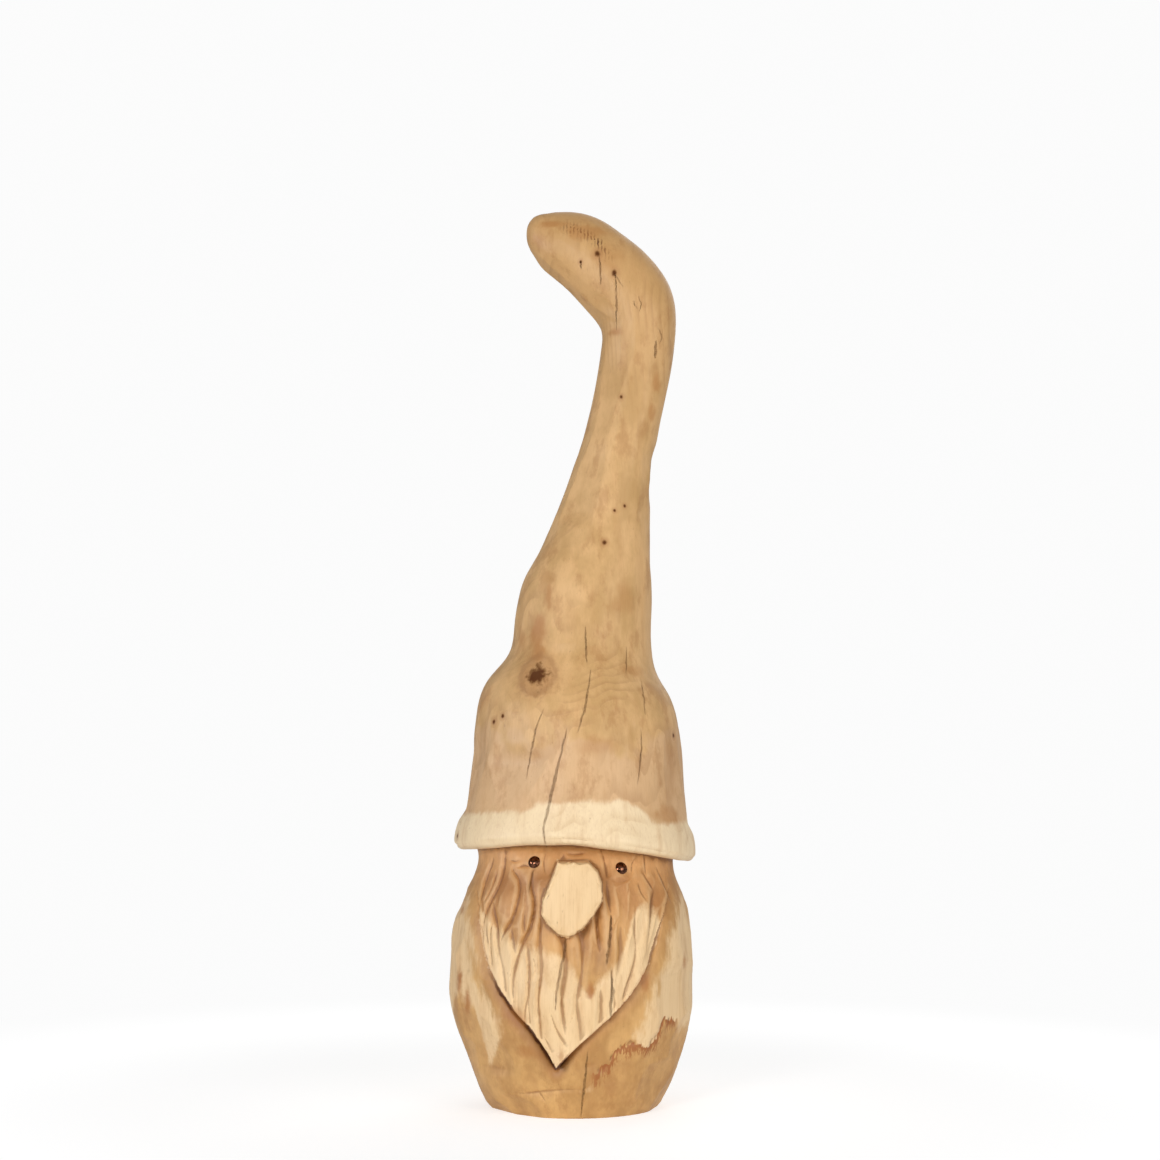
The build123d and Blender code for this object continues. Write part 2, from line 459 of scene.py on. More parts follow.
def stroke_depth(chart, strokes, sharp):
    """How deep each chart point is cut, where a sharp cut is a V and a blunt one is a round trough.

    A sharp cut is steep on its left and rises slowly on its right, so the strands seem to overlap.
    """
    deepest = np.zeros(len(chart))
    for places, half_width, depth in strokes:
        path = smoothed(np.array(places) * UNIT)
        path[:, 0] = unrolled(path[:, 0])
        reach = half_width * UNIT
        room = (chart > path.min(0) - 2.3 * reach) & (chart < path.max(0) + 2.3 * reach)
        near = np.flatnonzero(room.all(axis=1))
        nearest = np.full(len(near), np.inf)
        rightward = np.zeros(len(near))
        place = np.zeros(len(near))
        travelled = 0.0
        for a, b in zip(path, path[1:]):
            span = b - a
            length = np.hypot(*span)
            along = np.clip((chart[near] - a) @ span / length**2, 0, 1)
            away = chart[near] - a - along[:, None] * span
            distance = np.hypot(*away.T)
            closer = distance < nearest
            nearest = np.where(closer, distance, nearest)
            rightward = np.where(closer, away[:, 0], rightward)
            place = np.where(closer, travelled + along * length, place)
            travelled += length
        taper = np.sin(np.pi * np.clip(place / travelled, 0.02, 0.98)) ** 0.4
        if sharp:
            side = rightward / np.maximum(nearest, 1e-6)
            part = np.clip(nearest / (reach * (1.45 + 0.85 * side)), 0, 1)
            section = (1 - part) ** 1.3
        else:
            part = np.clip(nearest / reach, 0, 1)
            section = 1 - part**2
        deepest[near] = np.maximum(deepest[near], depth * UNIT * taper * section)
    return deepest


def strand_depth(points, chart):
    """Creases between rounded strands, running down and drawing together towards the point."""
    across, up = chart.T
    gather = 1 + 0.4 * ramp(190 * UNIT, 60 * UNIT, up)
    place = np.column_stack([across, np.zeros_like(up), up])
    wander = 10 * noise(place, (30, 200, 70), 41) + 4 * noise(place, (15, 200, 34), 42)
    flow = across * gather + UNIT * wander
    part = (flow / (17 * UNIT)) % 1
    crease = np.where(part < 0.3, part / 0.3, (1 - part) / 0.7)
    strength = np.clip(0.62 + 0.8 * noise(place, (16, 200, 32), 43), 0.08, 1)
    return UNIT * 4.8 * crease**1.3 * strength


def wear_tip(clay, rounds):
    """Rounds off the end of the hat, where it is handled most."""
    across, _, up = clay.points.T
    share = ramp(-26 * UNIT, -44 * UNIT, across) * ramp(700 * UNIT, 730 * UNIT, up)
    clay.points += share[:, None] * (clay.relaxed(clay.points, rounds) - clay.points)


def carving_zones(points):
    """Distances to the drawn outlines and soft masks, taken before any wood is cut away."""
    across, depthwise, up = points.T
    face_on = points[:, [0, 2]]
    beard = outline_distance(face_on, BEARD_OUTLINE)
    nose = outline_distance(face_on, NOSE_OUTLINE)
    return SimpleNamespace(
        beard=beard,
        nose=nose,
        in_beard=ramp(2 * UNIT, -4 * UNIT, beard),
        under_brim=ramp(1 * UNIT, -3 * UNIT, up - brim_edge(across)),
        front=ramp(-20 * UNIT, -45 * UNIT, depthwise),
        on_nose=(nose < 1.5 * UNIT) & (depthwise < -85 * UNIT),
    )


def carve(clay):
    """Works the remeshed block over: facets, then beard and face, then what the tools left uneven."""
    across, _, up = clay.points.T
    zones = carving_zones(clay.points)
    plane_hat(clay)
    on_hat = ramp(24 * UNIT, 40 * UNIT, up - brim_edge(across))
    cut_facets(clay, on_hat, **HAT_FACETS)
    on_body = (1 - zones.front * ramp(22 * UNIT, 5 * UNIT, zones.beard)) * zones.under_brim
    on_body *= ramp(-12 * UNIT, -30 * UNIT, up - brim_edge(across))
    cut_facets(clay, on_body, **BODY_FACETS, level=True)
    cut_beard(clay, zones)
    roughen(clay, zones)


def cut_beard(clay, zones):
    """Cuts strands, gouge strokes and knife cuts, and the gutter outside the beard's edge."""
    across, depthwise, up = clay.points.T
    radial = np.column_stack([across, depthwise, np.zeros_like(up)])
    radial /= np.maximum(np.linalg.norm(radial, axis=1), 1e-6)[:, None]
    chart = np.column_stack([unrolled(across), up])
    brow = ramp(215 * UNIT, 190 * UNIT, up + 0.12 * np.abs(across))
    push = strand_depth(clay.points, chart) * zones.in_beard * brow
    push = np.maximum(push, stroke_depth(chart, GOUGE_STROKES, sharp=False))
    push = np.maximum(push, stroke_depth(chart, KNIFE_CUTS, sharp=True))
    left = ramp(10 * UNIT, -20 * UNIT, across) * ramp(150 * UNIT, 100 * UNIT, up)
    gutter = (2.6 + 3.4 * left) * UNIT * np.clip(1 - zones.beard / ((10 + 3 * left) * UNIT), 0, 1) ** 1.7
    gutter += 3.5 * left * UNIT * np.clip(1 - zones.beard / (4.5 * UNIT), 0, 1)
    push += np.where(zones.beard > 0, gutter, 0) * ramp(205 * UNIT, 170 * UNIT, up)
    push *= zones.front * zones.under_brim
    push[zones.on_nose] = 0
    clay.points -= radial * push[:, None]


def roughen(clay, zones):
    """Leaves the wood slightly uneven, with a worn brim lip, a chipped nose edge and torn fibres."""
    points = clay.points
    across, depthwise, up = points.T
    over_brim = up - brim_edge(across)
    normals = clay.normals()
    swell = 0.5 * noise(points, 34, 21) + 0.15 * noise(points, 13, 22)
    near_brim = np.exp(-(((over_brim - 10 * UNIT) / (16 * UNIT)) ** 2))
    swell += 1.1 * near_brim * noise(points, 24, 23)
    swell += 0.08 * noise(points, (4, 4, 16), 24)
    belly = zones.under_brim * (1 - zones.in_beard * zones.front)
    swell += 0.16 * belly * noise(points, (26, 26, 3.2), 27)
    lip = np.exp(-(((over_brim - 5.5 * UNIT) / (1.7 * UNIT)) ** 2))
    swell -= 1.1 * lip * ramp(-0.5, 0.3, noise(points, 30, 28))
    recessed = zones.in_beard * zones.front * zones.under_brim * ramp(196 * UNIT, 208 * UNIT, up)
    swell += recessed * (0.6 * noise(points, (9, 9, 13), 29) + 0.25 * noise(points, (4, 4, 6), 30))
    swell[zones.on_nose] *= 0.3
    chipped = zones.on_nose & (zones.nose > -2.5 * UNIT) & (depthwise < 5 * UNIT - LOG_RADIUS)
    swell[chipped] += 1.3 * noise(points[chipped], 4.5, 25)
    torn = torn_zone(points) * np.exp(-((below_torn_line(points) / 3) ** 2))
    swell += torn * (1.4 * noise(points, (3.5, 3.5, 8), 26, 2) - 1.0)
    swell *= ramp(0, 4 * UNIT, up)
    clay.points += normals * (swell * UNIT)[:, None]


def below_torn_line(points):
    """How far below the line of broken fibres each place is, in millimetres."""
    across, _, up = points.T / UNIT
    return np.clip(drawn_line(TORN_LINE, across) - up, -40, 40)


def torn_zone(points):
    """Where the fibres are broken, low on the right of the belly."""
    across, depthwise, _ = points.T / UNIT
    return ramp(12, 20, across) * ramp(93, 86, across) * ramp(-20, -45, depthwise)


def stained(points):
    """How brown each place is stained, from 0 to 1."""
    across, depthwise, up = points.T / UNIT
    wander = 0.5 * noise(points, 9, 61, 2)
    total = np.zeros(len(points))
    for (middle, level), half_width, half_height, strength in STAINS:
        gap = np.hypot((across - middle) / half_width, (up - level) / half_height) + wander
        total = np.maximum(total, strength * ramp(1.2, 0.3, gap))
    return total * ramp(10, -20, depthwise)


def chattered(points):
    """Where the knife chattered over end grain, in a band under the top of the hat's bend."""
    across, depthwise, up = points.T / UNIT
    band = np.exp(-(((up - drawn_line(CHATTER_LINE, across)) / 5) ** 2))
    return band * ramp(-16, 0, across) * ramp(38, 24, across) * ramp(0, -12, depthwise)


def face_shade(points):
    """Where painted shade darkens the recessed face, from under the brim to the cheeks."""
    across, depthwise, up = points.T
    inside = ramp(6 * UNIT, -8 * UNIT, outline_distance(points[:, [0, 2]], BEARD_OUTLINE))
    return inside * ramp(110 * UNIT, 205 * UNIT, up) * ramp(0, -40 * UNIT, depthwise)


def gutter_painted_shadow(points):
    """How much painted shadow lies beside the beard's edge, most of it low on the left."""
    across, depthwise, up = points.T / UNIT
    low_left = ramp(0, -12, across) * ramp(140, 100, up)
    return (0.35 + 0.65 * low_left) * ramp(0, -40, depthwise) * ramp(215, 180, up)


def sapwood_reach(points):
    """How many millimetres each place lies inside the pale sapwood, negative in the brown heartwood.

    Sapwood follows the log's outside, and on the carved front it stops along drawn lines.
    """
    across, depthwise, up = points.T / UNIT
    radius = np.hypot(points[:, 0], points[:, 1])
    plain = (radius - (LOG_RADIUS - SAPWOOD)) / UNIT
    beard = outline_distance(points[:, [0, 2]], BEARD_OUTLINE) / UNIT
    nose = outline_distance(points[:, [0, 2]], NOSE_OUTLINE) / UNIT
    left_foot = up - drawn_line(LEFT_FOOT, across)
    left_belly = np.minimum.reduce([left_foot, 186 - up, beard - drawn_line(LEFT_GAP, up)])
    right_foot = 6 - below_torn_line(points)
    right_belly = np.minimum.reduce([right_foot, 190 - up, beard - drawn_line(RIGHT_GAP, up)])
    belly = np.where(across < -5, left_belly, right_belly)
    drawn = np.where(beard < 0, drawn_line(STRAND_ARCH, across) - up, belly)
    drawn = np.where(nose < 1.5, 30, drawn)
    under_brim = ramp(1, -3, up - brim_edge(across * UNIT) / UNIT)
    drawn = drawn * under_brim + (drawn_line(BRIM_TOP, across) - up) * (1 - under_brim)
    share = ramp(-5, -40, depthwise)
    return np.clip(plain * (1 - share) + drawn * 0.6 * share, -14, 14)


def surface_finder(mesh):
    """A function that gives the surface point and normal at (across, up).

    Looking is 1 to look from the front, and -1 from the back.
    """
    places = [vertex.co / MM for vertex in mesh.vertices]
    faces = [tuple(polygon.vertices) for polygon in mesh.polygons]
    tree = BVHTree.FromPolygons(places, faces)

    def find(across, up, looking):
        start = Vector((across, -looking * RAY_START, up))
        point, normal, _, _ = tree.ray_cast(start, Vector((0, looking, 0)))
        return point, normal

    return find


def blade_sections(find, crack, looking, draw):
    """Triangular sections along one crack: two corners outside the wood and one deep inside it."""
    places, width, depth = crack
    route = np.array(places, dtype=float) * UNIT
    steps = np.concatenate([[0], np.cumsum(np.linalg.norm(np.diff(route, axis=0), axis=1))])
    count = max(int(steps[-1] / (BLADE_STEP * UNIT)), 5)
    spots = np.linspace(0, steps[-1], count)
    across = np.interp(spots, steps, route[:, 0]) + draw.normal(0, 0.25, count) * UNIT
    up = np.interp(spots, steps, route[:, 1])
    found = [find(*spot, looking) for spot in zip(across, up)]
    found = [hit for hit in found if hit[0] is not None]
    if len(found) < 3:
        return []
    inward = -sum((normal for _, normal in found), Vector())
    inward.z = 0
    inward.normalize()
    sideways = inward.cross(Vector((0, 0, 1)))
    sections = []
    for index, (point, _) in enumerate(found):
        taper = math.sin(math.pi * (index + 0.35) / (len(found) - 0.3)) ** 0.6
        half = max(width * taper * draw.uniform(*BLADE_OPENING), 0.4) * UNIT / 2
        into = max(depth * taper, 1.2) * UNIT
        out = point - inward * BLADE_OVERHANG * UNIT
        spread = sideways * half * (1 + BLADE_OVERHANG * UNIT / into)
        sections.append([out - spread, out + spread, point + inward * into])
    return sections


def crack_blades(find, material):
    """One mesh of thin wedges, each following a crack and reaching from outside the wood into it."""
    draw = np.random.default_rng(31)
    vertices = []
    faces = []
    for cracks, looking in ((FRONT_CRACKS, 1), (BACK_CRACKS, -1)):
        for crack in cracks:
            sections = blade_sections(find, crack, looking, draw)
            if not sections:
                continue
            first = len(vertices)
            vertices += [vertex for section in sections for vertex in section]
            last = len(vertices) - 3
            for a in range(first, last, 3):
                b = a + 3
                faces += [(a, a + 1, b + 1, b), (a + 1, a + 2, b + 2, b + 1), (a + 2, a, b, b + 2)]
            faces += [(first + 2, first + 1, first), (last, last + 1, last + 2)]
    mesh = bpy.data.meshes.new("crack_blades")
    mesh.from_pydata([vertex * MM for vertex in vertices], [], faces)
    mesh.materials.append(material)
    mesh.validate()
    return mesh


def split_wood(mesh, blades):
    """Cuts the blades out of the wood, and leaves their material on the cut faces."""
    cutter = bpy.data.objects.new("crack_blades", blades)
    bpy.context.scene.collection.objects.link(cutter)
    cut = {"operation": "DIFFERENCE", "solver": "MANIFOLD", "material_mode": "TRANSFER"}
    split = with_modifier(mesh, "BOOLEAN", object=cutter, **cut)
    bpy.data.objects.remove(cutter)
    assert len(split.vertices) > len(mesh.vertices), "the cracks were not cut"
    return split


def carry_marks(clay, marks, mesh):
    """Copies per-vertex values from the clay to the nearest vertices of the finished mesh."""
    tree = kdtree.KDTree(len(clay.points))
    for index, point in enumerate(clay.points):
        tree.insert(point, index)
    tree.balance()
    nearest = [tree.find(vertex.co / MM)[1] for vertex in mesh.vertices]
    for name, values in marks.items():
        layer = mesh.attributes.new(name, "FLOAT", "POINT")
        layer.data.foreach_set("value", values[nearest].astype(np.float32))


# Materials


def colour(red, green, blue):
    """A linear colour from its screen values between 0 and 255."""
    shares = [value / 255 for value in (red, green, blue)]
    return (*(s / 12.92 if s <= 0.04045 else ((s + 0.055) / 1.055) ** 2.4 for s in shares), 1.0)


class Shader:
    """A material under construction: most calls add one node and give back its output."""

    def __init__(self, name):
        self.material = bpy.data.materials.new(name)
        self.material.use_nodes = True
        self.tree = self.material.node_tree
        self.surface = self.tree.nodes["Principled BSDF"]
        self.point = self.vector("SCALE", self.node("ShaderNodeTexCoord", {}, "Object"), scale=1 / MM)

    def node(self, kind, inputs, output=0, **settings):
        made = self.tree.nodes.new(kind)
        for name, value in settings.items():
            setattr(made, name, value)
        for name, value in inputs.items():
            self.join(value, made.inputs[name])
        return made.outputs[output]

    def join(self, value, socket):
        if isinstance(value, bpy.types.NodeSocket):
            self.tree.links.new(value, socket)
        else:
            socket.default_value = value

    def set(self, name, value):
        self.join(value, self.surface.inputs[name])

    def bump(self, height, strength, distance):
        relief = {"Height": height, "Strength": strength, "Distance": distance}
        self.set("Normal", self.node("ShaderNodeBump", relief, "Normal"))

    def mark(self, name):
        return self.node("ShaderNodeAttribute", {}, "Fac", attribute_name=name)

    def vector(self, operation, a, b=(0, 0, 0), scale=1.0):
        made = self.tree.nodes.new("ShaderNodeVectorMath")
        made.operation = operation
        self.join(a, made.inputs[0])
        self.join(b, made.inputs[1])
        if operation == "SCALE":
            made.inputs["Scale"].default_value = scale
        return made.outputs["Value" if operation == "LENGTH" else "Vector"]

    def math(self, operation, a, b=0.0):
        return self.node("ShaderNodeMath", {0: a, 1: b}, 0, operation=operation)

    def plus(self, a, b):
        return self.math("ADD", a, b)

    def times(self, a, b):
        return self.math("MULTIPLY", a, b)

    def larger(self, a, b):
        return self.math("MAXIMUM", a, b)

    def apart(self, a, b):
        return self.math("ABSOLUTE", self.math("SUBTRACT", a, b))

    def axis(self, name):
        return self.node("ShaderNodeSeparateXYZ", {"Vector": self.point}, name)

    def noise(self, scale, detail=2.0, rough=0.5, stretch=(1, 1, 1), shift=(0, 0, 0)):
        """Smooth noise around a half, with details of about 1 / scale millimetres."""
        place = self.point if shift == (0, 0, 0) else self.vector("ADD", self.point, shift)
        place = self.vector("MULTIPLY", place, stretch)
        settings = {"Vector": place, "Scale": scale, "Detail": detail, "Roughness": rough}
        return self.node("ShaderNodeTexNoise", settings, "Fac")

    def level_noise(self, *settings):
        """The same noise around 0."""
        return self.math("SUBTRACT", self.noise(*settings), 0.5)

    def ramp(self, value, low, high, start=0.0, end=1.0):
        """Goes smoothly from start to end while the value goes from low to high."""
        span = {"Value": value, "From Min": low, "From Max": high, "To Min": start, "To Max": end}
        return self.node("ShaderNodeMapRange", span, 0, interpolation_type="SMOOTHSTEP")

    def mix(self, share, a, b):
        return self.node("ShaderNodeMix", {0: share, 6: a, 7: b}, 2, data_type="RGBA")


class Wood(Shader):
    """Solid wood: rings round the pith, pale sapwood near the log's outside, knots, and painted shade
    and highlights round the gouge cuts.
    """

    def __init__(self, name, knots, shaded_crack=False):
        super().__init__(name)
        self.height = self.axis("Z")
        self.low_part = self.mark("low_part")
        self.face = self.mark("face")
        self.fibre = self.noise(0.9, 4, 0.6, (1, 1, 0.045))
        self.streak = self.noise(0.11, 3, 0.55, (1, 1, 0.09))
        self.hairs = self.noise(0.8, 2, 0.6, (1, 1, 0.1))
        self.ragged = self.level_noise(0.13, 5, 0.66, (1, 1, 0.35))
        self.broad = self.level_noise(0.035, 2)
        self.find_knots(knots)
        self.find_rings()
        self.find_torn_fibres()
        self.find_sapwood()

        base = self.mix(self.sap, self.heartwood(), self.sapwood())
        base = self.add_grain(base)
        base = self.add_painted_light(base)
        base = self.add_scars(base)
        if shaded_crack:
            # Painted shade: the walls inside the cracks are painted nearly black
            base = self.mix(0.96, base, colour(58, 28, 8))
        self.set("Base Color", base)
        self.set("Roughness", 0.9 if shaded_crack else self.ramp(self.fibre, 0.3, 0.8, 0.46, 0.6))
        self.set("Specular IOR Level", 0.0 if shaded_crack else self.ramp(self.heart, 0.0, 0.8, 0.45, 0.05))
        self.bump(self.plus(self.times(self.fibre, 0.6), self.times(self.late, 0.3)), 0.35, 0.0006)

    def find_knots(self, knots):
        """The knots' dark hearts, the wood they disturb, and a ring round each large one."""
        self.heart = 0.0
        self.halo = 0.0
        self.collar = 0.0
        crumble = self.level_noise(0.16, 3, 0.55)
        for spot, radius in knots:
            large = radius > LARGE_KNOT * UNIT
            gap = self.vector("SUBTRACT", self.point, tuple(spot))
            gap = self.vector("LENGTH", self.vector("MULTIPLY", gap, (1, 0.8, 0.85)))
            core = self.plus(gap, self.times(crumble, radius * (2.6 if large else 1.2)))
            self.heart = self.larger(self.heart, self.ramp(core, radius * 1.4, radius * 0.3))
            gap = self.plus(gap, self.times(crumble, radius * 0.9))
            self.halo = self.larger(self.halo, self.ramp(gap, radius * 3.0, radius * 0.9))
            if large:
                off_ring = self.apart(gap, radius * 1.7)
                self.collar = self.larger(self.collar, self.ramp(off_ring, radius * 0.5, 0.0))

    def find_rings(self):
        """The dark late wood of each year's ring. Knots push it outward, and it fades in and out."""
        place = self.vector("MULTIPLY", self.point, (1, 1, 0.2))
        wander = {"Vector": place, "Scale": 0.012, "Detail": 3.0}
        wander = self.node("ShaderNodeTexNoise", wander, "Color")
        wander = self.vector("SUBTRACT", wander, (0.5, 0.5, 0.5))
        bent = self.vector("ADD", self.point, self.vector("SCALE", wander, scale=40))
        rings = self.vector("LENGTH", self.vector("MULTIPLY", bent, (1, 1, 0.03)))
        rings = self.plus(rings, self.times(self.halo, 12.0))
        phase = self.math("FRACT", self.times(rings, 1 / RING_WIDTH))
        late = self.times(self.ramp(phase, 0.4, 0.9), self.ramp(phase, 1.0, 0.93))
        self.late = self.times(late, self.ramp(self.noise(0.018, 2), 0.42, 0.62))

    def find_torn_fibres(self):
        """The jagged line of broken fibres low on the right, and the heartwood that lies under it."""
        zone = self.mark("torn")
        spikes = self.level_noise(0.15, 3, 0.7, (1, 1, 0.12))
        below = self.plus(self.mark("below_torn"), self.times(spikes, 24.0))
        fringe = self.math("DIVIDE", below, self.ramp(self.hairs, 0.35, 0.65, 5.0, 17.0))
        fringe = self.times(self.ramp(below, -1.0, 0.5), self.ramp(fringe, 1.0, 0.3))
        self.torn = self.times(fringe, zone)
        self.under_torn = self.times(self.ramp(below, -0.5, 0.5), zone)

    def find_sapwood(self):
        """The pale sapwood, with a soft edge on the hat and a ragged one below it."""
        rough_edge = self.times(self.ragged, self.ramp(self.low_part, 0.0, 1.0, 5.0, 15.0))
        bulges = self.times(self.broad, self.ramp(self.low_part, 0.0, 1.0, 6.0, 13.0))
        reach = self.plus(self.mark("sap_reach"), self.plus(rough_edge, bulges))
        soft = self.ramp(self.low_part, 0.0, 1.0, 1.6, 3.0)
        sap = self.ramp(self.math("DIVIDE", reach, soft), -1.0, 1.2)
        self.sap = self.times(sap, self.math("SUBTRACT", 1.0, self.under_torn))

    def heartwood(self):
        """Tan on the hat, pinkish near its brim, and honey brown below it, darkest in the face where
        shade is painted, with painted light just under the brim.
        """
        mottle = self.ramp(self.noise(0.03, 4, 0.62, (1, 1, 0.6)), 0.34, 0.66)
        wavy = self.plus(self.height, self.times(self.broad, 110 * UNIT))
        belt = self.ramp(wavy, 336 * UNIT, 316 * UNIT)
        tan = self.mix(mottle, colour(222, 178, 122), colour(197, 155, 98))
        tan = self.mix(self.times(belt, 0.7), tan, colour(216, 176, 132))
        high = self.ramp(self.height, 560 * UNIT, 760 * UNIT, 0.0, 0.6)
        tan = self.mix(high, tan, colour(198, 152, 94))
        honey = self.mix(mottle, colour(216, 168, 104), colour(184, 136, 78))
        # Painted shade: the honey brown is painted darker in the recessed face under the brim
        shaded_honey = self.mix(mottle, colour(208, 152, 92), colour(178, 121, 67))
        honey = self.mix(self.face, honey, shaded_honey)
        # Painted light: the top of the face, just under the brim, is painted paler to lift it out of the
        # brim's shadow
        brow = self.times(self.ramp(self.height, 204 * UNIT, 218 * UNIT, 0.0, 0.55), self.face)
        honey = self.mix(brow, honey, colour(230, 180, 122))
        return self.mix(self.low_part, tan, honey)

    def sapwood(self):
        """Cream on the hat's brim, and warmer below it."""
        warm = self.mix(self.streak, colour(243, 210, 162), colour(228, 192, 142))
        pale = self.mix(self.streak, colour(248, 224, 184), colour(236, 208, 166))
        return self.mix(self.low_part, pale, warm)

    def add_grain(self, base):
        """Latewood lines, fibres, brown streaks, clouds and flecks."""
        line = self.times(self.late, self.ramp(self.low_part, 0.0, 1.0, 0.3, 0.1))
        base = self.mix(line, base, self.mix(self.sap, colour(160, 112, 66), colour(210, 174, 126)))
        base = self.mix(self.ramp(self.fibre, 0.48, 0.74, 0.0, 0.18), base, colour(176, 128, 78))
        base = self.mix(self.ramp(self.streak, 0.5, 0.72, 0.0, 0.22), base, colour(190, 138, 84))
        cloud = self.ramp(self.noise(0.055, 5, 0.7, (1, 1, 0.5), (0, 0, 300)), 0.5, 0.66)
        cloud = self.times(cloud, self.ramp(self.sap, 0.0, 1.0, 0.4, 0.12))
        base = self.mix(cloud, base, colour(170, 116, 62))
        fleck = self.ramp(self.noise(0.4, 3, 0.7, (1, 1, 0.35)), 0.66, 0.74, 0.0, 0.35)
        return self.mix(fleck, base, colour(142, 94, 48))

    def add_painted_light(self, base):
        """Painted shade in the cuts and hollows and painted shadow beside the beard's edge, and painted
        highlights on the ridges in the face.
        """
        groove = self.mark("groove")
        # Painted shade in the broad hollows
        base = self.mix(self.ramp(self.mark("recess"), 0.1, 1.0, 0.0, 0.5), base, colour(176, 124, 70))
        # Painted shade in the narrow cuts, strongest in the face
        cut = self.times(self.ramp(groove, 0.15, 1.0), self.ramp(self.face, 0.0, 1.0, 0.5, 0.7))
        base = self.mix(cut, base, colour(132, 84, 42))
        # Painted shadow in the gutter beside the beard's edge: a wide band, and a dark line along the
        # edge
        outside = self.plus(self.mark("outside"), self.times(self.ragged, 5.0))
        gutter = self.times(self.mark("gutter"), self.ramp(outside, -2.0, -0.5))
        wide_shade = self.times(gutter, self.ramp(outside, 16.0, 1.0, 0.0, 0.75))
        base = self.mix(wide_shade, base, colour(166, 108, 54))
        edge_shadow = self.times(self.ramp(gutter, 0.4, 1.0), self.ramp(outside, 3.8, 1.6))
        base = self.mix(edge_shadow, base, colour(88, 46, 20))
        # Painted highlight on the ridges between the cuts in the face
        ridge_highlight = self.times(self.ramp(groove, -0.1, -0.8, 0.0, 0.35), self.ramp(self.face, 0.0, 0.6))
        return self.mix(ridge_highlight, base, colour(236, 196, 142))

    def add_scars(self, base):
        """Torn fibres, the knife's chatter, stains and knots."""
        base = self.mix(self.times(self.torn, 0.85), base, colour(158, 90, 38))
        along = self.plus(self.math("DIVIDE", self.axis("X"), CHATTER_STEP * UNIT), self.hairs)
        hatch = self.ramp(self.apart(self.math("FRACT", along), 0.5), 0.34, 0.1)
        hatch = self.times(hatch, self.ramp(self.noise(0.25, 2), 0.38, 0.5))
        base = self.mix(self.times(hatch, self.mark("chatter")), base, colour(92, 50, 20))
        stain = self.mix(self.low_part, colour(180, 123, 64), colour(172, 108, 48))
        base = self.mix(self.times(self.mark("stain"), 0.9), base, stain)
        base = self.mix(self.times(self.halo, 0.45), base, colour(172, 116, 66))
        base = self.mix(self.times(self.collar, 0.28), base, colour(132, 82, 44))
        return self.mix(self.times(self.heart, 0.9), base, colour(74, 32, 12))


def metal_material(name, bright, dark, rough, scale):
    """Plated or drawn metal with worn patches and fine scratches."""
    shade = Shader(name)
    cloud = shade.noise(scale, 4, 0.6)
    scratch = shade.noise(scale * 6, 2, 0.5, (1, 6, 1))
    shade.set("Base Color", shade.mix(shade.ramp(cloud, 0.35, 0.7), dark, bright))
    shade.set("Metallic", 1.0)
    shade.set("Roughness", shade.ramp(scratch, 0.3, 0.7, rough * 0.8, rough * 1.3))
    shade.bump(scratch, 0.12, 0.0002)
    return shade.material


# The figure


def carved_clay():
    """The frame's carving, remeshed evenly and carved further."""
    voxel = VOXEL * MM * UNIT
    block = with_modifier(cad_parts[FIGURE].data.copy(), "REMESH", mode="VOXEL", voxel_size=voxel)
    block.materials.clear()
    clay = Clay(block)
    wear_tip(clay, round(QUICK_WEAR * (QUICK_VOXEL * MM * UNIT / voxel) ** 2))
    carve(clay)
    clay.write()
    return clay


def surface_marks(clay):
    """What the wood material reads at each vertex: hollows, zones and distances from drawn lines."""
    points = clay.points
    normals = clay.normals()

    def hollow(rounds, full_depth):
        sunk = np.einsum("ij,ij->i", clay.relaxed(points, rounds) - points, normals)
        return np.clip(sunk / full_depth, -1, 1)

    return {
        "groove": hollow(14, 0.5),
        "recess": hollow(90, 2.0),
        "low_part": ramp(3, -3, points[:, 2] - brim_edge(points[:, 0])),
        "below_torn": below_torn_line(points),
        "torn": torn_zone(points),
        "chatter": chattered(points),
        "face": face_shade(points),
        "gutter": gutter_painted_shadow(points),
        "outside": np.clip(outline_distance(points[:, [0, 2]], BEARD_OUTLINE) / UNIT, -10, 30),
        "stain": stained(points),
        "sap_reach": sapwood_reach(points),
    }


def placed_knots(find):
    """Each knot's middle on the surface and its radius."""
    knots = []
    for places, looking in ((FRONT_KNOTS, 1), (BACK_KNOTS, -1)):
        for (across, up), radius in places:
            point, _ = find(across * UNIT, up * UNIT, looking)
            if point is not None:
                knots.append((point, radius * UNIT))
    return knots


def finished_carving():
    """The carving as one object: carved, thinned, split along its cracks and coloured."""
    clay = carved_clay()
    marks = surface_marks(clay)
    find = surface_finder(clay.mesh)
    knots = placed_knots(find)
    wood = Wood("oiled_wood", knots).material
    # The crack walls get a wood material painted dark as shade
    crack_shade_wood = Wood("crack_wood_painted_shade", knots, shaded_crack=True).material
    share = min(1.0, TRIANGLES / (2 * len(clay.mesh.polygons)))
    lean = with_modifier(clay.mesh, "DECIMATE", ratio=share, use_collapse_triangulate=True)
    lean.materials.append(wood)
    mesh = split_wood(lean, crack_blades(find, crack_shade_wood))
    carry_marks(clay, marks, mesh)
    mesh.shade_smooth()
    mesh.set_sharp_from_angle(angle=math.radians(EDGE_ANGLE))
    carving = bpy.data.objects.new("carving", mesh)
    bpy.context.scene.collection.objects.link(carving)
    return carving


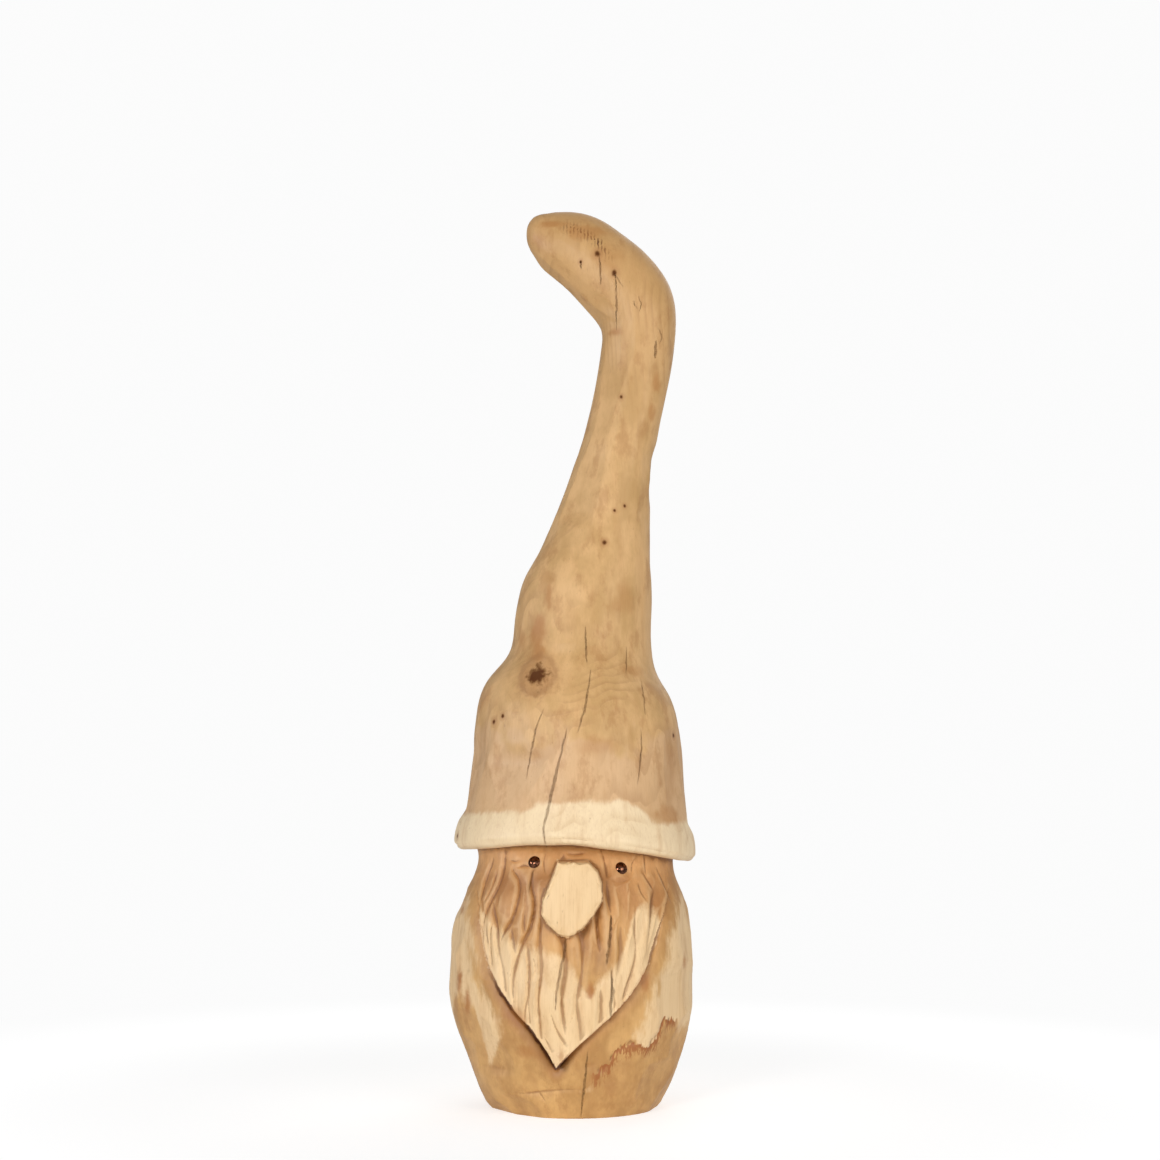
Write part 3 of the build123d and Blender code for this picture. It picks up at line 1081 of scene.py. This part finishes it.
def plate_eyes():
    """Dark bronze for the eye caps, and plain steel for the shanks inside them."""
    bronze = metal_material("antique_bronze", colour(136, 92, 70), colour(52, 28, 18), 0.14, 0.5)
    steel = metal_material("drawn_steel", colour(170, 170, 172), colour(120, 120, 124), 0.3, 0.8)
    for name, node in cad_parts.items():
        for ending, metal in (("_eye_cap", bronze), ("_eye_shank", steel)):
            if name.endswith(ending):
                node.data.materials.clear()
                node.data.materials.append(metal)


# Stage, light and camera, with places and sizes in metres

BACKDROP = 0.97
AMBIENT = 0.42
FLOOR_RADIUS = 9
FLOOR_CORNERS = 64
FLOOR_GLOW = 0.62
FLOOR_GREY = 0.6
FLOOR_FADE = (0.1, 0.9)
CAMERA_PLACE = (0.0054, -2.2, 0.345)
CAMERA_AIM = (0.0054, 0, 0.4684)
SENSOR_WIDTH = 36
FOCAL_LENGTH = 75.9

# Lamps: place, size, power, and whether they light the wood or only shine on it
LAMPS = {
    "key": ((-0.95, -2.1, 0.6), 0.6, 22.8, True),
    "fill": ((1.4, -1.7, 0.4), 1.4, 20, True),
    "sparkle": ((0.02, -2.1, 0.42), 0.1, 1.5, False),
    "sheen": ((-2.1, -0.75, 0.6), 0.4, 20, False),
    "back": ((0.6, 1.8, 1.6), 1.6, 12, True),
}


def pale_floor():
    """A round floor that turns into the plain white of the studio away from the figure."""
    turns = [math.tau * step / FLOOR_CORNERS for step in range(FLOOR_CORNERS)]
    corners = [(FLOOR_RADIUS * math.cos(turn), FLOOR_RADIUS * math.sin(turn), 0) for turn in turns]
    mesh = bpy.data.meshes.new("floor")
    mesh.from_pydata(corners, [], [tuple(range(FLOOR_CORNERS))])
    shade = Shader("pale_floor")
    near, far = FLOOR_FADE
    away = shade.ramp(shade.vector("LENGTH", shade.point), near / MM, far / MM)
    seen = shade.node("ShaderNodeLightPath", {}, "Is Camera Ray")
    shade.set("Base Color", shade.mix(away, (FLOOR_GREY, FLOOR_GREY, FLOOR_GREY, 1), (0, 0, 0, 1)))
    shade.set("Roughness", 1.0)
    shade.set("Specular IOR Level", 0.0)
    shade.set("Emission Color", (1, 1, 1, 1))
    glow = shade.ramp(away, 0.0, 1.0, FLOOR_GLOW, BACKDROP)
    shade.set("Emission Strength", shade.times(glow, shade.ramp(seen, 0.0, 1.0, 0.5, 1.0)))
    mesh.materials.append(shade.material)
    floor = bpy.data.objects.new("floor", mesh)
    bpy.context.scene.collection.objects.link(floor)


def soft_lights(aim):
    """Square lamps round the figure, all aimed at its middle."""
    for name, (place, size, power, lights_wood) in LAMPS.items():
        light = bpy.data.lights.new(name, "AREA")
        light.size = size
        light.energy = power
        lamp = bpy.data.objects.new(name, light)
        lamp.location = place
        lamp.rotation_euler = (aim - Vector(place)).to_track_quat("-Z", "Y").to_euler()
        lamp.visible_diffuse = lights_wood
        bpy.context.scene.collection.objects.link(lamp)


def studio_world():
    """Dim even light for the object, while the camera sees plain white, shown without a film curve."""
    world = bpy.data.worlds.new("studio")
    world.use_nodes = True
    tree = world.node_tree
    seen = tree.nodes.new("ShaderNodeLightPath")
    strength = tree.nodes.new("ShaderNodeMapRange")
    strength.inputs["To Min"].default_value = AMBIENT
    strength.inputs["To Max"].default_value = BACKDROP
    tree.links.new(seen.outputs["Is Camera Ray"], strength.inputs["Value"])
    tree.links.new(strength.outputs[0], tree.nodes["Background"].inputs["Strength"])
    tree.nodes["Background"].inputs["Color"].default_value = (1, 1, 1, 1)
    bpy.context.scene.world = world
    bpy.context.scene.view_settings.view_transform = "Standard"


def portrait_camera():
    """Looks slightly up at the figure from the front, from a little below the middle of its height."""
    lens = bpy.data.cameras.new("camera")
    lens.sensor_width = SENSOR_WIDTH
    lens.lens = FOCAL_LENGTH
    camera = bpy.data.objects.new("camera", lens)
    camera.location = CAMERA_PLACE
    camera.rotation_euler = (Vector(CAMERA_AIM) - camera.location).to_track_quat("-Z", "Y").to_euler()
    bpy.context.scene.collection.objects.link(camera)
    bpy.context.scene.camera = camera


carving = finished_carving()
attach(carving, "root")
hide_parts(FIGURE)
plate_eyes()
pale_floor()
studio_world()
soft_lights((figure_low + figure_high) / 2)
portrait_camera()
